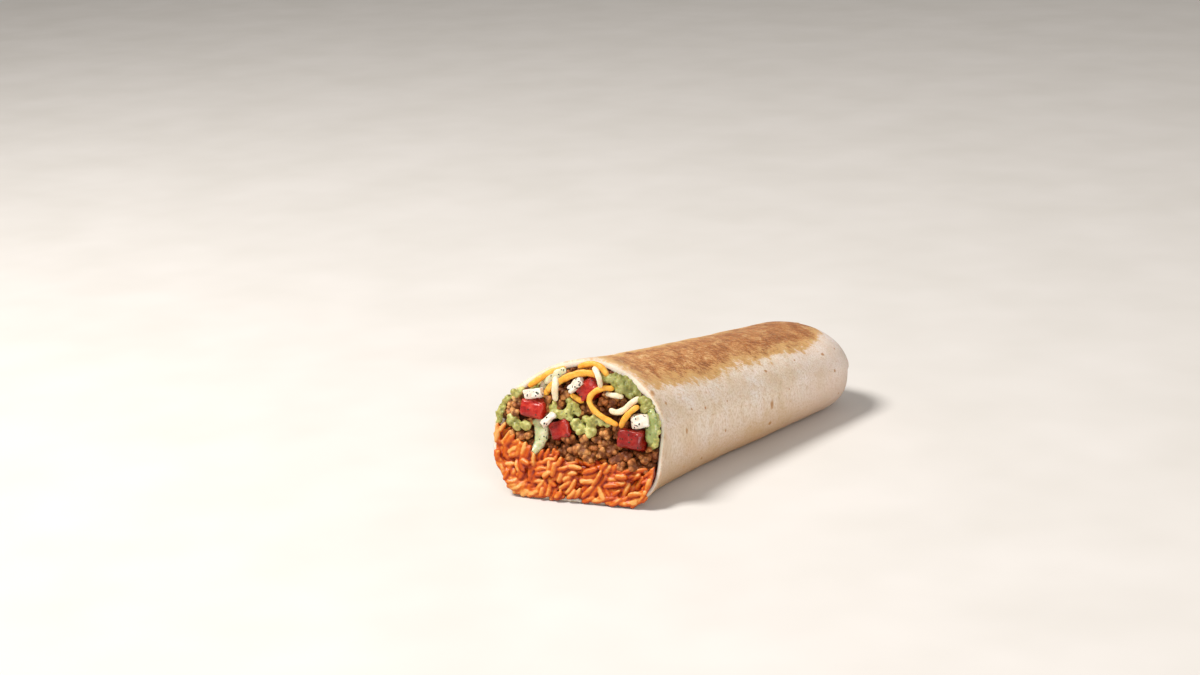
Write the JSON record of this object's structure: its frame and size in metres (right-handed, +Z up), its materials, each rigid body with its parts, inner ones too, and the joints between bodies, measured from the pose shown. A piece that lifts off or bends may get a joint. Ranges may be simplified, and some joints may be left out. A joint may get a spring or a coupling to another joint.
{
  "type": "burrito",
  "caption": "Burrito cut across one end: toasted flour tortilla rolled round rice, ground beef and guacamole, with diced tomato and grated cheese in the cut.",
  "frame": {"origin": "middle of the burrito's footprint, on the surface it rests on", "axes": "+Y runs along the roll from the cut end to the folded end, +X to the right as seen facing the cut, +Z up"},
  "size_m": [0.0646, 0.1672, 0.0503],
  "materials": {
    "tortilla": "matt flour tortilla, cream with small brown blisters and a toasted band along the top",
    "rice": "moist long-grain rice stained orange-red with tomato",
    "ground_beef": "moist browned crumbles",
    "guacamole": "glossy light green lumps, paler where sauce covers them",
    "tomato": "wet red dice",
    "cheddar": "waxy orange-yellow shreds",
    "white_cheese": "waxy ivory shreds and pieces flecked with pepper"
  },
  "bodies": {
    "root": {"tortilla": "tortilla", "rice": "rice", "ground_beef": "ground_beef", "guacamole": "guacamole", "cheddar_loop": "cheddar", "cheddar_tail": "cheddar", "cheddar_arch": "cheddar", "cheddar_crown": "cheddar", "white_cheese_left": "white_cheese", "white_cheese_top": "white_cheese", "white_cheese_lower": "white_cheese", "white_cheese_upper": "white_cheese", "speckled_chunk_left": "white_cheese", "speckled_chunk_top": "white_cheese", "speckled_stick": "white_cheese", "speckled_chunk_right": "white_cheese", "cheddar_left": "cheddar", "cheddar_stub": "cheddar", "cheddar_under": "cheddar", "tomato_left": "tomato", "tomato_middle": "tomato", "tomato_right": "tomato", "tomato_top": "tomato", "guacamole_centre": "guacamole", "guacamole_middle": "guacamole", "guacamole_left_lower": "guacamole", "guacamole_left_edge": "guacamole", "guacamole_top_left": "guacamole", "guacamole_top_right": "guacamole", "guacamole_right": "guacamole", "guacamole_right_low": "guacamole"}
  },
  "joints": []
}
